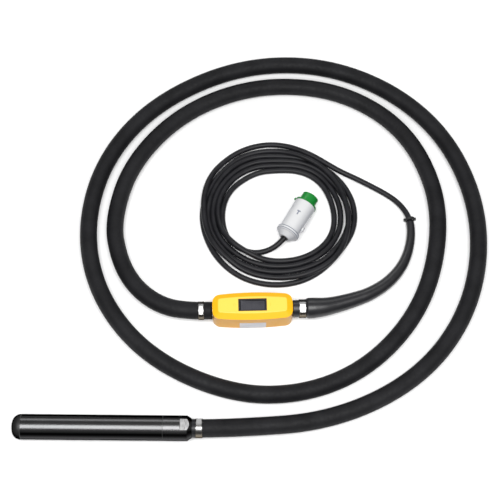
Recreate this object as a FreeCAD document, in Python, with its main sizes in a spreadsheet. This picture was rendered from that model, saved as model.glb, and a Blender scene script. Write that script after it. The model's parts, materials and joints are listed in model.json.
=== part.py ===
import FreeCAD, Part
import math
import os

import Sketcher
from FreeCAD import Placement, Rotation, Vector

# High-frequency internal vibrator for fresh concrete: a steel vibrating head with a small
# induction motor and an eccentric, a rubber protective hose, a switch box and a coiled supply
# cable with a low-voltage industrial plug. Millimetres, +Z up, the floor is z = 0. The origin is
# on the floor below the middle of the head and switch box; +X runs along the head to its hose.

DIMENSIONS = {
    # places of the three rigid groups
    "head_tip_x": -301.2, "head_axis_y": -133.2, "head_axis_z": 26.0,
    "box_x": 188.5, "box_y": 127.8, "box_turn": 1.9, "hose_axis_z": 29.0,
    "plug_x": 257.0, "plug_y": 299.0, "plug_turn": 60.0, "plug_axis_z": 26.2,
    # vibrating head, measured along its axis from the tip
    "head_radius": 26.0, "tube_bore": 22.0, "thread_radius": 21.9,
    "nose_length": 19.0, "nose_round": 17.5, "nose_flat": 23.4, "nose_flat_length": 14.0,
    "nose_spigot_end": 34.0, "nose_recess": 22.0, "nose_recess_radius": 13.0,
    "ring_groove_start": 21.0, "ring_groove_end": 24.4, "ring_groove_radius": 19.3,
    "ring_middle": 22.7, "ring_circle": 20.62, "ring_thickness": 1.28,
    "tube_end": 309.0, "coupling_spigot": 294.0, "coupling_chamfer": 358.5,
    "coupling_end": 368.0, "coupling_end_radius": 19.5, "coupling_bore": 14.0,
    "coupling_cavity": 328.0, "coupling_cavity_radius": 17.0,
    "coupling_flat": 23.1, "coupling_flat_start": 344.0, "coupling_flat_tilt": -3.0,
    "rear_ring_start": 303.0, "rear_ring_end": 306.4, "rear_ring_middle": 304.7,
    "nipple_thread_start": 334.0, "nipple_end": 414.0, "nipple_radius": 12.6,
    "nipple_thread_radius": 13.9, "nipple_bore": 8.0,
    # motor and eccentric
    "shaft_radius": 8.5, "shaft_start": 40.0, "shaft_end": 279.0,
    "bearing_width": 12.0, "bearing_radius": 20.0, "inner_race_radius": 11.5,
    "outer_race_bore": 17.0, "ball_circle": 14.25, "ball_radius": 2.7, "ball_pocket": 2.75,
    "cage_inner": 13.2, "cage_outer": 15.3, "cage_width": 8.0, "ball_count": 8,
    "front_bearing": 42.0, "middle_bearing": 138.0, "rear_bearing": 265.0,
    "carrier_lip": 1.0, "eccentric_start": 60.0, "eccentric_end": 130.0,
    "eccentric_radius": 17.5, "eccentric_offset": 2.0,
    "rotor_start": 168.0, "rotor_end": 248.0, "rotor_radius": 12.6,
    "stator_bore": 13.0, "slot_count": 12, "slot_radius": 1.6, "slot_circle": 16.4,
    "winding_inner": 14.0, "winding_outer": 20.5, "winding_length": 12.0,
    "circlip_start": 278.4, "circlip_width": 1.4, "circlip_bore": 19.0,
    "circlip_gap": 3.0, "circlip_gap_floor": 15.0,
    "cutout_radius": 3.2, "cutout_length": 11.0, "cutout_start": 281.0, "cutout_offset": 13.0,
    "lead_wire_radius": 1.2, "lead_wire_circle": 5.0, "lead_wire_start": 281.4,
    # protective hose and its inner cable
    "hose_radius": 18.75, "hose_bore": 12.7, "inner_cable_radius": 5.5,
    "band_thickness": 0.9, "band_gap": 0.05, "head_band_start": 376.0, "head_band_width": 13.5,
    "buckle_length": 17.0, "buckle_height": 3.4, "buckle_inset": 1.5,
    # switch box, along its own X from its middle
    "box_half_length": 85.4, "box_half_width": 31.2, "box_side_bulge": 5.0,
    "box_end_bulge": 2.0, "box_corner": 17.0, "box_wall": 3.5, "box_foot_round": 2.0,
    "seam_z": 44.0, "cover_top_z": 58.0, "cover_bevel_in": 8.0, "cover_bevel_down": 12.6,
    "cover_edge_round": 3.0, "cover_roof_z": 54.4, "cover_cavity_in": 11.5,
    "hose_hole": 13.2, "gasket_in": 0.8, "gasket_out": 2.4, "gasket_height": 1.2,
    "window_length": 60.4, "window_width": 28.2,
    "bezel_length": 60.0, "bezel_width": 27.8, "bezel_top_z": 56.6,
    "rocker_hole_length": 54.6, "rocker_hole_width": 22.4,
    "switch_length": 62.0, "switch_width": 31.0, "switch_floor_z": 24.0, "switch_well_z": 34.0,
    "rocker_half_length": 26.0, "rocker_width": 21.8, "rocker_middle": 3.5,
    "rocker_end": 6.4, "rocker_edge": 1.4, "rocker_finger": -7.0, "rocker_rest_tilt": 6.0,
    "rocker_belly": 1.5, "finger_half": 5.0,
    "pin_z": 47.0, "pin_radius": 1.5, "pin_hole": 1.56, "pin_length": 26.0,
    "contact_spread": 6.0, "contact_half": 1.5, "blade_thickness": 0.9, "blade_top": 1.7,
    "pad_start": 12.0, "pad_end": 18.0, "pad_height": 2.0,
    "tab_start": 13.5, "tab_end": 14.5, "tab_drop": 6.0,
    "box_nipple_out": 116.0, "box_nipple_in": 72.0, "nut_radius": 14.6, "nut_length": 5.0,
    "nut_start": 75.4, "left_band_start": 103.8, "left_band_width": 11.5,
    "right_band_start": 99.2, "right_band_width": 14.7,
    "post_x": 64.0, "post_y": 15.5, "post_radius": 4.6, "screw_radius": 2.0,
    "screw_hole": 2.3, "screw_head": 3.8, "screw_head_well": 4.1, "screw_top_z": 52.0,
    "plate_length": 56.0, "plate_low_z": 3.0, "plate_high_z": 31.0, "plate_thickness": 0.7,
    "block_length": 42.0, "block_width": 17.0, "block_low_z": 5.0, "block_high_z": 17.0,
    "terminal_radius": 2.1, "terminal_fit": 0.1, "terminal_spacing": 12.0,
    "terminal_rows": 8.0, "terminal_well": 7.0, "terminal_sunk": 2.0,
    # tail sleeve, supply cable and plug
    "sleeve_collar": 18.2, "sleeve_shoulder": 22.2, "sleeve_tip": 9.0,
    "sleeve_start": 86.6, "collar_length": 27.5, "shoulder_length": 4.0,
    "sleeve_length": 398.0, "sleeve_curve": 0.72,
    "cable_radius": 6.2, "sleeve_bore": 6.35,
    "tie_x": 537.0, "tie_y": 351.0, "tie_z": 11.2, "tie_turn": 97.0,
    "tie_radius": 10.9, "tie_bore": 9.0, "tie_width": 5.5, "tie_lug_reach": 13.6,
    "tie_lug_height": 3.2, "tie_lug_inset": 0.4,
    "coil_x": 246.0, "coil_y": 370.0, "coil_outer": 180.0, "coil_height": 27.0,
    "coil_hole_x": 241.0, "coil_hole_y": 365.0, "coil_hole_long": 118.0,
    "coil_hole_short": 106.0, "coil_edge": 6.0,
    "gland_nose": 12.5, "gland_skirt": 22.5, "gland_length": 10.0, "gland_bore": 8.5,
    "seal_length": 14.0, "seal_lip": 0.6, "seal_fit": 0.05, "cable_fit": 0.1,
    "ring_start": 10.3, "ring_length": 8.0, "ring_radius": 26.0,
    "ring_groove": 23.6, "shell_start": 18.6, "shell_end": 93.0, "shell_small": 23.0,
    "shell_large": 24.6, "shell_wall": 2.6, "collar_start": 93.3, "collar_radius": 25.4,
    "shroud_start": 96.5, "shroud_radius": 19.0, "shroud_wall": 2.3, "shroud_end": 117.0,
    "insert_start": 73.0, "insert_end": 95.0, "insert_radius": 16.4,
    "plug_pin_radius": 2.5, "plug_pin_root": 3.3, "plug_pin_circle": 9.0,
    "plug_pin_start": 69.0, "plug_pin_end": 114.0, "insert_fit": 0.2, "collar_floor": 2.0,
    "ring_bevel": 2.5,
    "cord_clamp_start": 30.0, "cord_clamp_length": 12.0, "cord_clamp_radius": 12.0,
    "cord_clamp_gap": 0.6,
}

# Centre line of the hose, from the head's coupling to the switch box.
HOSE_ROUTE = [
    (66.9, -133.2, 26), (140, -133.2, 26), (362, -113, 19.3), (551.5, -12, 19), (664.5, 152, 19),
    (695.5, 355, 19), (638, 549, 19), (515, 683, 19), (341, 757, 19), (145, 747, 19),
    (-43, 645, 19), (-153, 495, 19), (-185, 318, 19), (-143, 155, 19), (-30, 20, 19),
    (149, -60, 19), (312, -55, 19), (455, 18, 19), (566, 162, 19), (608, 359, 19),
    (569, 520, 19), (482, 629, 19), (347, 693, 19), (177, 693, 19), (19, 619, 19),
    (-90, 486, 19), (-124, 340, 19), (-104.5, 248, 19.5), (-69.5, 184.5, 22), (-17, 140.5, 26),
    (42, 122.94, 29), (102.65, 124.95, 29),
]
# Centre line of the supply cable from inside the switch box, through its tapered sleeve, to the
# outer turn of the coil.
LEAD_ROUTE = [
    (258.5, 130.12, 29), (326, 132.36, 29), (369, 143.5, 23), (410, 158, 19.5), (444, 172, 17),
    (486.5, 202, 14.6), (521, 247.5, 13), (537.5, 303, 12), (538.5, 352, 11.2), (523, 386, 8.4),
    (496, 414, 6.8), (430, 452, 6.6), (344, 505, 6.6),
]
# Centre line of the cable from the inner turn of the coil up into the plug.
TAIL_ROUTE = [
    (138, 298, 6.6), (162, 278.5, 6.6), (191, 269.5, 7.5), (221, 273, 13), (247, 287, 22),
    (266, 311, 26.2),
]

DOC = FreeCAD.newDocument("concrete_vibrator")
SHEET = DOC.addObject("Spreadsheet::Sheet", "Sizes")
NODES = []


def fill_sheet():
    """Writes every driving dimension as a plain number with its name as the alias."""
    for row, (name, size) in enumerate(DIMENSIONS.items(), start=1):
        SHEET.set(f"A{row}", name)
        SHEET.set(f"B{row}", str(size))
        SHEET.setAlias(f"B{row}", name)
    DOC.recompute()


def number(formula):
    """The value of a sum of names and plain numbers, such as "tube_bore - carrier_lip"."""
    total, sign = 0.0, 1.0
    for word in formula.split():
        if word in ("+", "-"):
            sign = 1.0 if word == "+" else -1.0
        elif word in DIMENSIONS:
            total += sign * DIMENSIONS[word]
        else:
            total += sign * float(word)
    return total


def bound(formula):
    """The same sum as an expression on the sheet."""
    return " ".join("Sizes." + word if word in DIMENSIONS else word for word in formula.split())


def negated(formula):
    """The rest of a sum that takes the whole formula away."""
    flipped = {"+": "-", "-": "+"}
    return " - " + " ".join(flipped.get(word, word) for word in formula.split())


def place(item, group):
    """Moves a piece with its group: the head, the switch box or its hose axis, the plug, none."""
    x, y, z, turn = {
        "head": ("head_tip_x", "head_axis_y", "head_axis_z", None),
        "box": ("box_x", "box_y", None, "box_turn"),
        "box_hose": ("box_x", "box_y", "hose_axis_z", "box_turn"),
        "plug": ("plug_x", "plug_y", "plug_axis_z", "plug_turn"),
        "tie": ("tie_x", "tie_y", "tie_z", "tie_turn"),
        "world": (None, None, None, None),
    }[group]
    angle = DIMENSIONS[turn] if turn else 0.0
    item.Placement = Placement(Vector(0, 0, 0), Rotation(Vector(0, 0, 1), angle))
    for axis, name in (("x", x), ("y", y), ("z", z)):
        if name:
            item.setExpression("Placement.Base." + axis, "Sizes." + name)


def node(item, label, group):
    """Names a finished piece, places it and lists it for export."""
    item.Label = label
    place(item, group)
    NODES.append(item)
    return item


def origin_plane(body, role):
    for feature in body.Origin.OriginFeatures:
        if feature.Role == role:
            return feature
    raise ValueError(role)


def pin_corner(sketch, corner, along, up, name):
    """Fixes one sketch corner to two bound distances from the sketch's origin."""
    for formula, axis, kind in ((along, -2, "DistanceX"), (up, -1, "DistanceY")):
        if number(formula) == 0.0:
            sketch.addConstraint(Sketcher.Constraint("PointOnObject", corner, 1, axis))
        else:
            size = number(formula)
            fixed = sketch.addConstraint(Sketcher.Constraint(kind, -1, 1, corner, 1, size))
            sketch.renameConstraint(fixed, name + kind)
            sketch.setExpression("Constraints." + name + kind, bound(formula))


def outline(body, name, role, corners):
    """A closed straight-sided sketch with every corner bound to the sheet."""
    sketch = body.newObject("Sketcher::SketchObject", name)
    sketch.AttachmentSupport = (origin_plane(body, role), "")
    sketch.MapMode = "FlatFace"
    points = [Vector(number(along), number(up), 0) for along, up in corners]
    count = len(points)
    for index in range(count):
        sketch.addGeometry(Part.LineSegment(points[index], points[(index + 1) % count]), False)
    for index in range(count):
        following = (index + 1) % count
        sketch.addConstraint(Sketcher.Constraint("Coincident", index, 2, following, 1))
    for index, (along, up) in enumerate(corners):
        pin_corner(sketch, index, along, up, f"corner{index}")
    return sketch


def turned(name, corners):
    """A body turned about its own X axis from (distance along, radius) corners."""
    body = DOC.addObject("PartDesign::Body", name)
    sketch = outline(body, name + "_profile", "XY_Plane", corners)
    turn = body.newObject("PartDesign::Revolution", name + "_turn")
    turn.Profile = sketch
    turn.ReferenceAxis = (sketch, ["H_Axis"])
    turn.Angle = 360.0
    sketch.Visibility = False
    DOC.recompute()
    return body


def ring(name, start, length, outer, inner):
    """A plain turned ring, or a disc where the inner radius is "0"."""
    end = start + " + " + length
    return turned(name, [(start, inner), (start, outer), (end, outer), (end, inner)])


def extruded(name, role, corners, length, midplane=True):
    """A body padded from a straight-sided sketch."""
    body = DOC.addObject("PartDesign::Body", name)
    sketch = outline(body, name + "_profile", role, corners)
    pad = body.newObject("PartDesign::Pad", name + "_pad")
    pad.Profile = sketch
    pad.SideType = "Symmetric" if midplane else "One side"
    pad.setExpression("Length", bound(length))
    DOC.recompute()
    return body


def block(name, low, high):
    """A box between two corners, each three formulas."""
    box = DOC.addObject("Part::Box", name)
    for side, axis, index in (("Length", "x", 0), ("Width", "y", 1), ("Height", "z", 2)):
        box.setExpression(side, f"({bound(high[index])}) - ({bound(low[index])})")
        box.setExpression("Placement.Base." + axis, bound(low[index]))
    return box


def rod(name, radius, low, high, x, y):
    """An upright cylinder between two heights."""
    cylinder = DOC.addObject("Part::Cylinder", name)
    cylinder.setExpression("Radius", bound(radius))
    cylinder.setExpression("Height", f"({bound(high)}) - ({bound(low)})")
    cylinder.setExpression("Placement.Base.x", bound(x))
    cylinder.setExpression("Placement.Base.y", bound(y))
    cylinder.setExpression("Placement.Base.z", bound(low))
    return cylinder


def lying_rod(name, radius, start, length, y="0", z="0"):
    """A cylinder along X."""
    cylinder = DOC.addObject("Part::Cylinder", name)
    cylinder.Placement = Placement(Vector(0, 0, 0), Rotation(Vector(0, 1, 0), 90))
    cylinder.setExpression("Radius", bound(radius))
    cylinder.setExpression("Height", bound(length))
    cylinder.setExpression("Placement.Base.x", bound(start))
    cylinder.setExpression("Placement.Base.y", bound(y))
    cylinder.setExpression("Placement.Base.z", bound(z))
    return cylinder


def rod_on_circle(name, radius, start, length, circle, angle):
    """A cylinder along X at an angle round the axis."""
    cylinder = lying_rod(name, radius, start, length)
    cylinder.setExpression("Placement.Base.y", f"Sizes.{circle} * {math.cos(angle):.6f}")
    cylinder.setExpression("Placement.Base.z", f"Sizes.{circle} * {math.sin(angle):.6f}")
    return cylinder


def cut(name, base, *tools):
    """The base with every tool taken away."""
    result = base
    for index, tool in enumerate(tools):
        step = DOC.addObject("Part::Cut", f"{name}_cut{index}")
        step.Base = result
        step.Tool = tool
        result = step
    DOC.recompute()
    return result


def fuse(name, *pieces):
    joined = DOC.addObject("Part::MultiFuse", name)
    joined.Shapes = list(pieces)
    joined.Refine = True
    DOC.recompute()
    return joined


def compound(name, pieces):
    group = DOC.addObject("Part::Compound", name)
    group.Links = list(pieces)
    DOC.recompute()
    return group


# ---- cords ---------------------------------------------------------------------------------


def tangent_path(points, name):
    """Straight runs joined by tangent arcs, each as large as its two runs allow."""
    corners = [Vector(*point) for point in points]
    edges, start, radii = [], corners[0], []
    for before, corner, after in zip(corners, corners[1:], corners[2:]):
        to_before, to_after = before - corner, after - corner
        reach = 0.45 * min(to_before.Length, to_after.Length)
        turn = math.pi - to_before.getAngle(to_after)
        radii.append(reach / math.tan(turn / 2))
        into = corner + to_before.normalize() * reach
        out = corner + to_after.normalize() * reach
        toward = (into + out) * 0.5 - corner
        depth = radii[-1] / math.cos(turn / 2) - radii[-1]
        middle = corner + toward.normalize() * depth
        edges.append(Part.LineSegment(start, into).toShape())
        edges.append(Part.Arc(into, middle, out).toShape())
        start = out
    edges.append(Part.LineSegment(start, corners[-1]).toShape())
    path = Part.Wire(edges)
    print(name, "length", round(path.Length), "radii", [round(radius) for radius in radii])
    return path


def tube(name, points, radius):
    """A cord's solid: a circle swept along its route, with the radius bound to the sheet."""
    spine = DOC.addObject("Part::Feature", name + "_route")
    spine.Shape = tangent_path(points, name)
    section = DOC.addObject("Part::Circle", name + "_section")
    section.setExpression("Radius", bound(radius))
    forward = Vector(*points[1]) - Vector(*points[0])
    section.Placement = Placement(Vector(*points[0]), Rotation(Vector(0, 0, 1), forward))
    sweep = DOC.addObject("Part::Sweep", name)
    sweep.Sections = [section]
    sweep.Spine = (spine, [f"Edge{index + 1}" for index in range(len(spine.Shape.Edges))])
    sweep.Solid = True
    sweep.Frenet = False
    DOC.recompute()
    expected = spine.Shape.Length * math.pi * number(radius) ** 2
    print(name, "volume ratio", round(sweep.Shape.Volume / expected, 4))
    return sweep


# ---- vibrating head ------------------------------------------------------------------------


def side_flats(name, start, end, half_gap):
    """Two blocks that leave a pair of flats, half_gap from the head's axis."""
    reach = "head_radius"
    flats = []
    for index, (low, high) in enumerate(((half_gap, reach), ("0 - " + reach, "0 - " + half_gap))):
        low_corner = (start, low, "0 - " + reach)
        flats.append(block(f"{name}{index}", low_corner, (end, high, reach)))
    return flats


def edge_near(shape, point):
    """The name of the edge closest to a point."""
    spot = Part.Vertex(Vector(*point))
    distances = [edge.distToShape(spot)[0] for edge in shape.Edges]
    return f"Edge{distances.index(min(distances)) + 1}"


def nose_cap():
    body = turned("nose_blank", [
        ("0", "0"), ("0", "head_radius"), ("nose_length", "head_radius"),
        ("nose_length", "thread_radius"), ("ring_groove_start", "thread_radius"),
        ("ring_groove_start", "ring_groove_radius"), ("ring_groove_end", "ring_groove_radius"),
        ("ring_groove_end", "thread_radius"), ("nose_spigot_end", "thread_radius"),
        ("nose_spigot_end", "nose_recess_radius"), ("nose_recess", "nose_recess_radius"),
        ("nose_recess", "0"),
    ])
    blank = body.Tip
    rounding = body.newObject("PartDesign::Fillet", "nose_rounding")
    rim = edge_near(blank.Shape, (0, number("head_radius"), 0))
    rounding.Base = (blank, [rim])
    rounding.setExpression("Radius", "Sizes.nose_round")
    DOC.recompute()
    flats = side_flats("nose_flat_tool", "0 - 5", "nose_flat_length", "nose_flat")
    node(cut("nose_cap", body, *flats), "nose_cap", "head")


def sealing_ring(label, middle):
    seal = DOC.addObject("Part::Torus", label + "_torus")
    seal.setExpression("Radius1", "Sizes.ring_circle")
    seal.setExpression("Radius2", "Sizes.ring_thickness")
    seal.Placement = Placement(Vector(number(middle), 0, 0), Rotation(Vector(0, 1, 0), 90))
    node(compound(label + "_set", [seal]), label, "head")


def head_tube():
    node(turned("head_tube", [
        ("nose_length", "tube_bore"), ("nose_length", "head_radius"),
        ("tube_end", "head_radius"), ("tube_end", "tube_bore"),
    ]), "head_tube", "head")


def rear_coupling():
    body = turned("coupling_blank", [
        ("coupling_spigot", "coupling_cavity_radius"), ("coupling_spigot", "thread_radius"),
        ("rear_ring_start", "thread_radius"), ("rear_ring_start", "ring_groove_radius"),
        ("rear_ring_end", "ring_groove_radius"), ("rear_ring_end", "thread_radius"),
        ("tube_end", "thread_radius"), ("tube_end", "head_radius"),
        ("coupling_chamfer", "head_radius"), ("coupling_end", "coupling_end_radius"),
        ("coupling_end", "coupling_bore"), ("coupling_cavity", "coupling_bore"),
        ("coupling_cavity", "coupling_cavity_radius"),
    ])
    flats = side_flats("coupling_flat_tool", "coupling_flat_start", "coupling_end + 1",
                       "coupling_flat")
    turned_flats = compound("coupling_flats", flats)
    roll = 90 + number("coupling_flat_tilt")
    turned_flats.Placement = Placement(Vector(0, 0, 0), Rotation(Vector(1, 0, 0), roll))
    node(cut("rear_coupling", body, turned_flats), "rear_coupling", "head")


def head_nipple():
    node(turned("head_nipple", [
        ("nipple_thread_start", "nipple_bore"), ("nipple_thread_start", "nipple_thread_radius"),
        ("coupling_end", "nipple_thread_radius"), ("coupling_end", "nipple_radius"),
        ("nipple_end", "nipple_radius"), ("nipple_end", "nipple_bore"),
    ]), "head_hose_nipple", "head")


def bearings():
    """Three deep-groove bearings: fixed outer races, turning inner races, balls and cages."""
    outer, inner, cages, balls = [], [], [], []
    for index, start in enumerate(("front_bearing", "middle_bearing", "rear_bearing")):
        outer.append(ring(f"outer_race{index}", start, "bearing_width",
                          "bearing_radius", "outer_race_bore"))
        inner.append(ring(f"inner_race{index}", start, "bearing_width",
                          "inner_race_radius", "shaft_radius"))
        middle = number(start) + number("bearing_width") / 2
        cage_start = middle - number("cage_width") / 2
        cage = ring(f"cage{index}", str(cage_start), "cage_width", "cage_outer", "cage_inner")
        pockets = []
        for step in range(int(number("ball_count"))):
            angle = 2 * math.pi * step / number("ball_count")
            spot = Vector(0, math.cos(angle), math.sin(angle)) * number("ball_circle")
            for radius, holder in (("ball_radius", balls), ("ball_pocket", pockets)):
                ball = DOC.addObject("Part::Sphere", f"{radius}{index}_{step}")
                ball.setExpression("Radius", bound(radius))
                ball.Placement = Placement(spot + Vector(middle, 0, 0), Rotation())
                holder.append(ball)
        cages.append(cut(f"cage_pockets{index}", cage, compound(f"pockets{index}", pockets)))
    node(compound("outer_races", outer), "bearing_outer_races", "head")
    node(compound("inner_races", inner), "bearing_inner_races", "head")
    node(compound("cages", cages), "bearing_cages", "head")
    node(compound("balls", balls), "bearing_balls", "head")


def bearing_carriers():
    carriers = []
    for index, start in enumerate(("front_bearing", "middle_bearing", "rear_bearing")):
        lip = start + " - carrier_lip"
        carriers.append(turned(f"carrier{index}", [
            (lip, "outer_race_bore"), (lip, "thread_radius"),
            (start + " + bearing_width", "thread_radius"),
            (start + " + bearing_width", "bearing_radius"),
            (start, "bearing_radius"), (start, "outer_race_bore"),
        ]))
    node(compound("carriers", carriers), "bearing_carriers", "head")


def rotor():
    shaft = turned("shaft_turning", [
        ("shaft_start", "0"), ("shaft_start", "shaft_radius"),
        ("shaft_end", "shaft_radius"), ("shaft_end", "0"),
    ])
    node(shaft, "rotor_shaft", "head")
    length = "eccentric_end - eccentric_start"
    whole = ring("eccentric_blank", "eccentric_start", length, "eccentric_radius",
                 "shaft_radius")
    low = ("eccentric_start - 1", "0 - head_radius", "eccentric_offset")
    upper_half = block("eccentric_cut_tool", low, ("eccentric_end + 1", "head_radius",
                                                   "head_radius"))
    node(cut("eccentric", whole, upper_half), "eccentric_weight", "head")
    length = "rotor_end - rotor_start"
    node(ring("rotor_core", "rotor_start", length, "rotor_radius", "shaft_radius"),
         "rotor_core", "head")


def stator():
    length = "rotor_end - rotor_start"
    blank = ring("stator_blank", "rotor_start", length, "thread_radius", "stator_bore")
    slots, wires = [], []
    for step in range(int(number("slot_count"))):
        angle = 2 * math.pi * step / number("slot_count")
        for name, holder in (("slot", slots), ("slot_wire", wires)):
            holder.append(rod_on_circle(f"{name}{step}", "slot_radius", "rotor_start", length,
                                        "slot_circle", angle))
    node(cut("stator", blank, compound("slots", slots)), "stator_core", "head")
    ends = [
        ring("winding_front", "rotor_start - winding_length", "winding_length",
             "winding_outer", "winding_inner"),
        ring("winding_back", "rotor_end", "winding_length", "winding_outer", "winding_inner"),
    ]
    node(fuse("windings", *ends, *wires), "stator_windings", "head")


def small_head_parts():
    clip = ring("circlip_ring", "circlip_start", "circlip_width", "thread_radius",
                "circlip_bore")
    low = ("circlip_start - 1", "0 - circlip_gap", "circlip_gap_floor")
    gap = block("circlip_gap_tool", low, ("circlip_start + circlip_width + 1", "circlip_gap",
                                          "head_radius"))
    node(cut("circlip", clip, gap), "circlip", "head")
    can = lying_rod("cutout_can", "cutout_radius", "cutout_start", "cutout_length",
                    y="cutout_offset")
    node(compound("cutout", [can]), "thermal_cutout", "head")
    wires = []
    for step in range(3):
        angle = math.radians(90 + 120 * step)
        wires.append(rod_on_circle(f"lead_wire{step}", "lead_wire_radius", "lead_wire_start",
                                   "nipple_thread_start - lead_wire_start",
                                   "lead_wire_circle", angle))
    node(compound("lead_wires", wires), "motor_lead_wires", "head")


# ---- band clamps ---------------------------------------------------------------------------


def band_clamp(label, start, width, group, roll):
    """A flat steel band round the hose with its folded buckle, rolled round the hose."""
    inner = "hose_radius + band_gap"
    band = ring(label + "_band", start, width, inner + " + band_thickness", inner)
    half = number("buckle_length") / 2
    low = (start + " + buckle_inset", str(-half), inner + " + band_thickness - 0.5")
    high = (start + " + " + width + " - buckle_inset", str(half), "hose_radius + buckle_height")
    buckle = compound(label + "_buckle_place", [block(label + "_buckle", low, high)])
    buckle.Placement = Placement(Vector(0, 0, 0), Rotation(Vector(1, 0, 0), roll))
    node(fuse(label + "_clamp", band, buckle), label, group)


# ---- switch box ----------------------------------------------------------------------------


def plan_blank(name, inset, low, height):
    """A block with the box's barrel-shaped plan, drawn in from its outside by inset."""
    body = DOC.addObject("PartDesign::Body", name)
    sketch = body.newObject("Sketcher::SketchObject", name + "_plan")
    sketch.AttachmentSupport = (origin_plane(body, "XY_Plane"), "")
    sketch.MapMode = "FlatFace"
    sketch.setExpression("AttachmentOffset.Base.z", bound(low))
    side_x, side_y = "box_half_length" + negated(inset), "box_half_width" + negated(inset)
    corner_x, corner_y = side_x + " - box_end_bulge", side_y + " - box_side_bulge"
    x, y, end, side = (number(size) for size in (corner_x, corner_y, side_x, side_y))
    corners = [Vector(x, -y, 0), Vector(x, y, 0), Vector(-x, y, 0), Vector(-x, -y, 0)]
    bulges = [Vector(end, 0, 0), Vector(0, side, 0), Vector(-end, 0, 0), Vector(0, -side, 0)]
    for index in range(4):
        arc = Part.Arc(corners[index], bulges[index], corners[(index + 1) % 4])
        sketch.addGeometry(arc, False)
    for index in range(4):
        following = (index + 1) % 4
        sketch.addConstraint(Sketcher.Constraint("Coincident", index, 2, following, 1))
    signs = ((1, -1), (1, 1), (-1, 1), (-1, -1))
    for index, (sign_x, sign_y) in enumerate(signs):
        for kind, sign, size in (("DistanceX", sign_x, corner_x), ("DistanceY", sign_y, corner_y)):
            value = sign * number(size)
            fixed = sketch.addConstraint(Sketcher.Constraint(kind, -1, 1, index, 1, value))
            sketch.renameConstraint(fixed, f"corner{index}{kind}")
            sketch.setExpression(f"Constraints.corner{index}{kind}", f"{sign} * ({bound(size)})")
    for index, (chord, rise) in enumerate(((corner_y, "box_end_bulge"),
                                           (corner_x, "box_side_bulge")) * 2):
        half, sag = number(chord), number(rise)
        radius = (half * half + sag * sag) / (2 * sag)
        fixed = sketch.addConstraint(Sketcher.Constraint("Radius", index, radius))
        sketch.renameConstraint(fixed, f"bow{index}")
        formula = f"(({bound(chord)})^2 + Sizes.{rise}^2) / (2 * Sizes.{rise})"
        sketch.setExpression(f"Constraints.bow{index}", formula)
    pad = body.newObject("PartDesign::Pad", name + "_pad")
    pad.Profile = sketch
    pad.setExpression("Length", bound(height))
    DOC.recompute()
    middle = number(low) + number(height) / 2
    edges = [edge_near(pad.Shape, (point.x, point.y, middle)) for point in corners]
    rounding = body.newObject("PartDesign::Fillet", name + "_corners")
    rounding.Base = (pad, edges)
    rounding.setExpression("Radius", bound("box_corner" + negated(inset)))
    DOC.recompute()
    return body


def level_face(shape, height):
    """The name of the widest flat level face at a height."""
    best, area = None, 0.0
    for index, face in enumerate(shape.Faces):
        box = face.BoundBox
        if abs(box.ZMin - height) + abs(box.ZMax - height) < 0.01 and face.Area > area:
            best, area = f"Face{index + 1}", face.Area
    return best


def plan_ring(name, outer_inset, inner_inset, low, height):
    """A thin loop that follows the box's plan."""
    outer = plan_blank(name + "_outer", outer_inset, low, height)
    inner = plan_blank(name + "_inner", inner_inset, low + " - 1", height + " + 2")
    return cut(name, outer, inner)


def posts(name, radius, low, high):
    """Four upright cylinders at the box's screw places."""
    pieces = []
    for index, (x, y) in enumerate((("", ""), ("0 - ", ""), ("", "0 - "), ("0 - ", "0 - "))):
        pieces.append(rod(f"{name}{index}", radius, low, high, x + "post_x", y + "post_y"))
    return pieces


def hose_holes(name):
    """The round holes through both end walls, as one long cylinder on the hose's axis."""
    return lying_rod(name, "hose_hole", "0 - box_half_length - 5",
                     "box_half_length + box_half_length + 10", z="hose_axis_z")


def box_base():
    outer = plan_blank("base_outer", "0", "0", "seam_z")
    foot = outer.newObject("PartDesign::Fillet", "base_foot_round")
    foot.Base = (outer.Group[-2], [level_face(outer.Shape, 0.0)])
    foot.setExpression("Radius", "Sizes.box_foot_round")
    DOC.recompute()
    inner = plan_blank("base_inner", "box_wall", "box_wall", "seam_z")
    shell = cut("base_shell", outer, inner)
    pillars = posts("base_post", "post_radius", "box_wall - 1", "seam_z")
    whole = fuse("base_whole", shell, *pillars)
    groove = plan_ring("base_groove", "gasket_in", "gasket_out", "seam_z - gasket_height",
                       "seam_z")
    wells = posts("head_well", "screw_head_well", "0 - 1", "box_wall")
    holes = posts("base_screw_hole", "screw_hole", "0 - 1", "seam_z + 1")
    tools = [hose_holes("base_hose_hole"), groove, *wells, *holes]
    node(cut("box_base", whole, *tools), "box_base", "box")


def box_cover():
    outer = plan_blank("cover_outer", "0", "seam_z", "cover_top_z - seam_z")
    corners = outer.Tip
    bevel = outer.newObject("PartDesign::Chamfer", "cover_bevel")
    bevel.Base = (corners, [level_face(corners.Shape, number("cover_top_z"))])
    bevel.ChamferType = "Two distances"
    bevel.setExpression("Size", "Sizes.cover_bevel_in")
    bevel.setExpression("Size2", "Sizes.cover_bevel_down")
    DOC.recompute()
    soft = outer.newObject("PartDesign::Fillet", "cover_edge_rounding")
    soft.Base = (bevel, [level_face(bevel.Shape, number("cover_top_z"))])
    soft.setExpression("Radius", "Sizes.cover_edge_round")
    DOC.recompute()
    cavity = plan_blank("cover_cavity", "cover_cavity_in", "seam_z - 1",
                        "cover_roof_z - seam_z + 1")
    shell = cut("cover_shell", outer, cavity)
    pillars = posts("cover_post", "post_radius", "seam_z", "cover_roof_z + 0.5")
    whole = fuse("cover_whole", shell, *pillars)
    half_x, half_y = number("window_length") / 2, number("window_width") / 2
    window = block("cover_window", (str(-half_x), str(-half_y), "seam_z"),
                   (str(half_x), str(half_y), "cover_top_z + 1"))
    threads = posts("cover_thread", "screw_radius", "seam_z - 1", "screw_top_z")
    node(cut("box_cover", whole, window, *threads), "box_cover", "box")


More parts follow.
